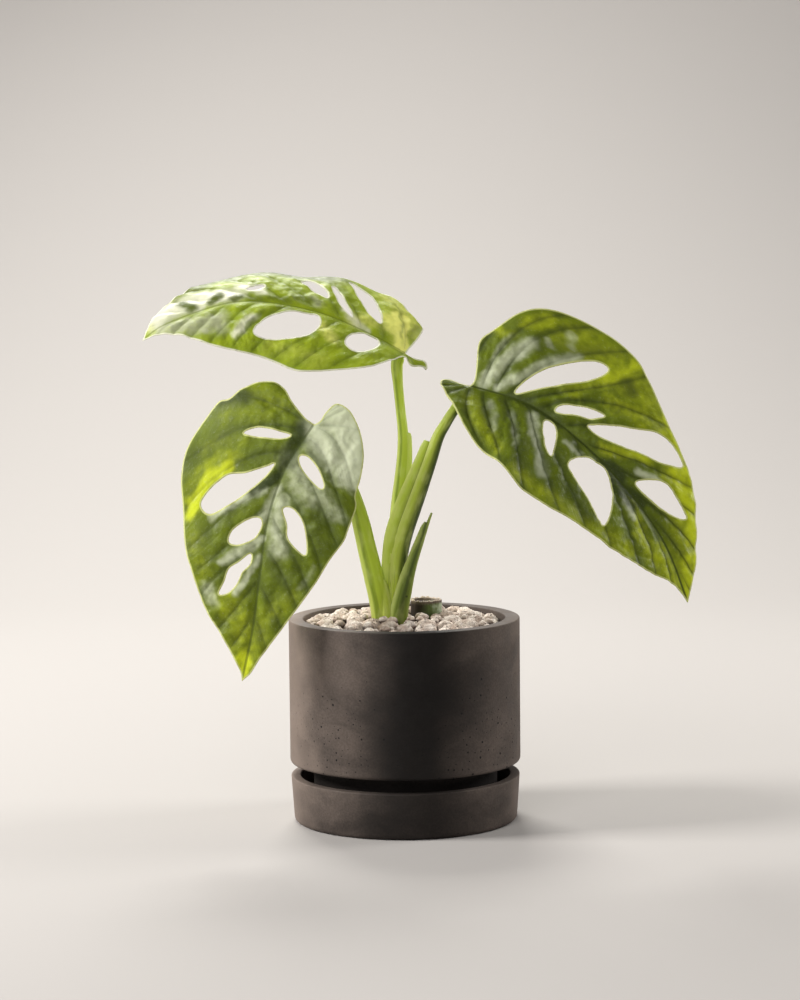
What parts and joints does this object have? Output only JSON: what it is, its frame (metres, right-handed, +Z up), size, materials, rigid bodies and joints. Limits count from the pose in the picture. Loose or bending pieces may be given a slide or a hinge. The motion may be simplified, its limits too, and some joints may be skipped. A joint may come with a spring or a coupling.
{
  "type": "potted mint swiss cheese vine",
  "caption": "Young swiss cheese vine with pierced heart-shaped leaves, rooted under a pumice top dressing in a round dark concrete pot that stands on its own saucer.",
  "frame": {"origin": "centre of the flat underside of the saucer, which rests on the surface below", "axes": "+Z up, along the axis of the pot; -Y towards the viewer of the picture; +X to the picture's right, towards the larger leaf"},
  "size_m": [0.2828, 0.12, 0.2845],
  "materials": {
    "saucer_concrete": "matt cast concrete, dark charcoal",
    "pot_concrete": "matt cast concrete, dark charcoal with cloudy marks and pinholes",
    "potting_mix": "rough and dark brown",
    "pumice": "rough, porous, cream",
    "crown": "green, slightly waxy",
    "old_stem": "dry and brown to green, with a dry cut top",
    "spear": "green, slightly waxy, with a dry tip",
    "stalk": "yellow-green, slightly waxy",
    "leaf": "satin green with a pale mint sheen",
    "pale_leaf": "satin pale yellow-green with mint sheen"
  },
  "bodies": {
    "root": {"saucer": "saucer_concrete", "pot": "pot_concrete", "potting_mix": "potting_mix", "pumice_topping": "pumice", "crown": "crown", "old_stem": "old_stem", "spear": "spear", "stalk_left": "stalk", "stalk_right": "stalk", "stalk_top": "stalk", "leaf_left": "leaf", "leaf_right": "leaf", "leaf_top": "pale_leaf"}
  },
  "joints": []
}
